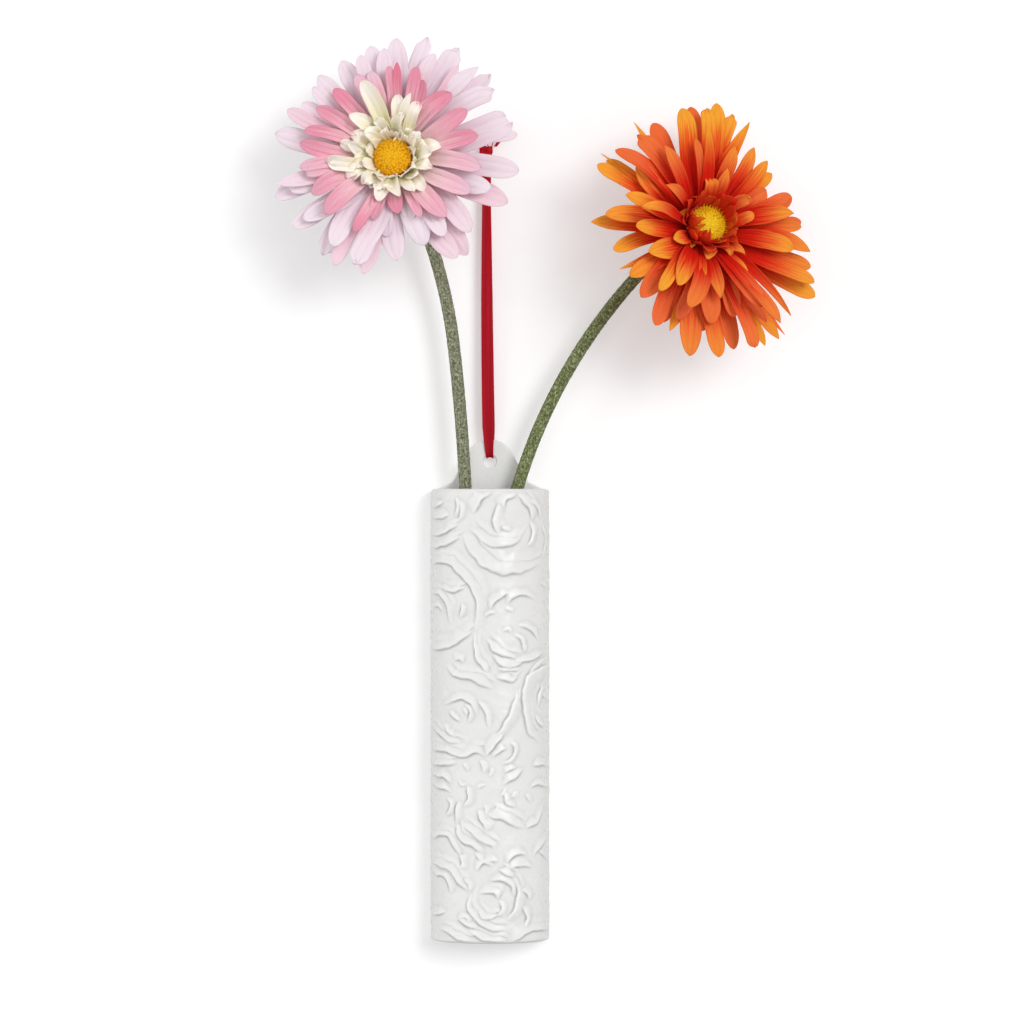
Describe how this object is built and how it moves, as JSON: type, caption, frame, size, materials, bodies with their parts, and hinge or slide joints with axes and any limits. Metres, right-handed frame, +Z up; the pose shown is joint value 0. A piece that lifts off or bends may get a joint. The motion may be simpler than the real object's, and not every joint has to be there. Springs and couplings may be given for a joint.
{
  "type": "hanging wall vase",
  "caption": "Half-round porcelain wall vase with raised roses, hung by a ribbon loop through its tab, holding fabric gerberas on flocked wire stems.",
  "frame": {"origin": "top of the ribbon's loop, where it lies over the hook or nail, in the plane of the wall", "axes": "+X to the viewer's right, +Y into the wall, +Z up"},
  "size_m": [0.2721, 0.0714, 0.4456],
  "materials": {
    "porcelain": "glazed white, semi-gloss",
    "red_satin": "satin",
    "grey_green_flock": "flocked, matte",
    "moss_green_flock": "flocked, matte",
    "steel_wire": "bare wire",
    "green_calyx": "moulded, matte",
    "pale_pink_petal": "printed polyester",
    "pink_petal": "printed polyester",
    "cream_petal": "printed polyester",
    "golden_disc": "stippled",
    "amber_petal": "printed polyester",
    "orange_petal": "printed polyester",
    "red_orange_petal": "printed polyester",
    "red_petal": "printed polyester"
  },
  "bodies": {
    "ribbon": {"ribbon_hook_loop": "red_satin", "ribbon_knot": "red_satin", "ribbon_tails": "red_satin", "ribbon_hanger": "red_satin"},
    "vase": {"vase_body": "porcelain"},
    "pink_flower": {"pink_stem": "grey_green_flock", "pink_stem_wire": "steel_wire"},
    "pink_head": {"pink_calyx": "green_calyx", "pink_petals_back": "pale_pink_petal", "pink_petals_outer": "pale_pink_petal", "pink_petals_middle": "pink_petal", "pink_petals_inner": "cream_petal", "pink_florets": "cream_petal", "pink_disc": "golden_disc"},
    "orange_flower": {"orange_stem": "moss_green_flock", "orange_stem_wire": "steel_wire"},
    "orange_head": {"orange_calyx": "green_calyx", "orange_petals_back": "amber_petal", "orange_petals_outer": "orange_petal", "orange_petals_middle": "orange_petal", "orange_petals_inner": "red_orange_petal", "orange_florets": "red_petal", "orange_disc": "golden_disc"}
  },
  "joints": [
    {"name": "vase_swing", "type": "hinge", "parent": "ribbon", "child": "vase", "pos_m": [0, -0.003, -0.16675], "axis": [0, -1, 0], "range_deg": [-20, 20]},
    {"name": "pink_lift", "type": "slide", "parent": "vase", "child": "pink_flower", "axis": [0, 0, 1], "range_m": [0, 0.225]},
    {"name": "pink_head_turn", "type": "hinge", "parent": "pink_flower", "child": "pink_head", "pos_m": [-0.0456, -0.02897, -0.02064], "axis": [-0.1001, -0.9852, 0.1392], "continuous": true},
    {"name": "orange_lift", "type": "slide", "parent": "vase", "child": "orange_flower", "axis": [0, 0, 1], "range_m": [0, 0.225]},
    {"name": "orange_head_turn", "type": "hinge", "parent": "orange_flower", "child": "orange_head", "pos_m": [0.10064, -0.02525, -0.05499], "axis": [0.312, -0.9271, 0.2079], "continuous": true}
  ]
}
